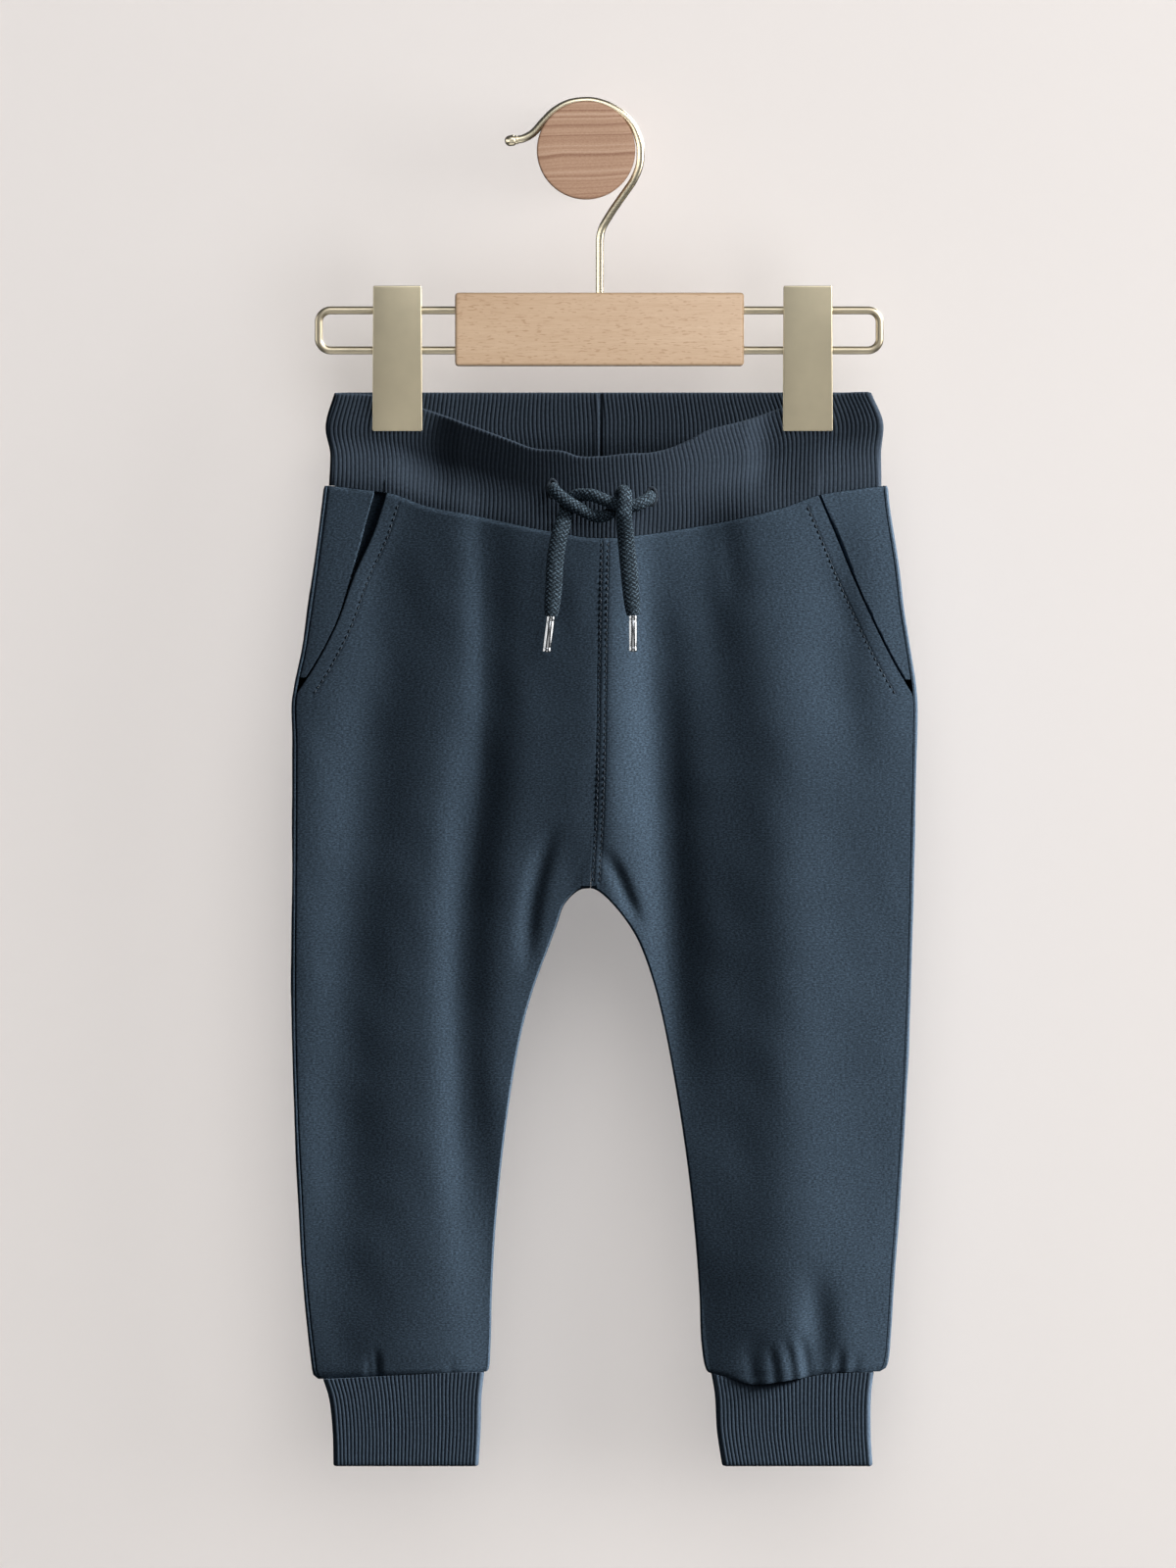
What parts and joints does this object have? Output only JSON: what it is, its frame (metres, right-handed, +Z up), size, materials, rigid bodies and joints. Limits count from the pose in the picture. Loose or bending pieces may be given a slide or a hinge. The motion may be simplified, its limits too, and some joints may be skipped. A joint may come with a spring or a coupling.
{
  "type": "jogger sweatpants on a clip hanger and wall peg",
  "caption": "Small child's slate blue joggers with rib waistband, cuffs, slant pockets and drawstring, clipped to a metal and beech hanger on a round wooden wall peg.",
  "frame": {"origin": "centre of the wall peg's flat back face, where it meets the wall", "axes": "+X to the wearer's left, which is to the right as seen from the front, +Y into the wall, +Z up; the garment's front faces -Y"},
  "size_m": [0.287, 0.0787, 0.6291],
  "materials": {
    "cloth": "brushed-back jersey, dark slate blue, matt",
    "rib": "fine rib knit, dark slate blue, matt",
    "cord": "braided cotton cord, dark slate blue",
    "tip": "crimped metal cord ends",
    "hanger_metal": "satin champagne plating",
    "hanger_wood": "pale beech, satin lacquer",
    "peg_wood": "end of a turned peg, oiled"
  },
  "bodies": {
    "root": {"waistband": "rib", "cuff_right": "rib", "cuff_left": "rib", "front_right": "cloth", "front_left": "cloth", "back_right": "cloth", "back_left": "cloth", "pocket_back_right": "cloth", "pocket_back_left": "cloth", "drawstring_right": "cord", "drawstring_left": "cord", "tip_right": "tip", "tip_left": "tip", "hanger_hook": "hanger_metal", "hanger_wire_right": "hanger_metal", "hanger_wire_left": "hanger_metal", "hanger_block": "hanger_wood", "clip_right_front": "hanger_metal", "clip_right_rear": "hanger_metal", "clip_right_spring": "hanger_metal", "clip_left_front": "hanger_metal", "clip_left_rear": "hanger_metal", "clip_left_spring": "hanger_metal", "wall_peg": "peg_wood"}
  },
  "joints": []
}
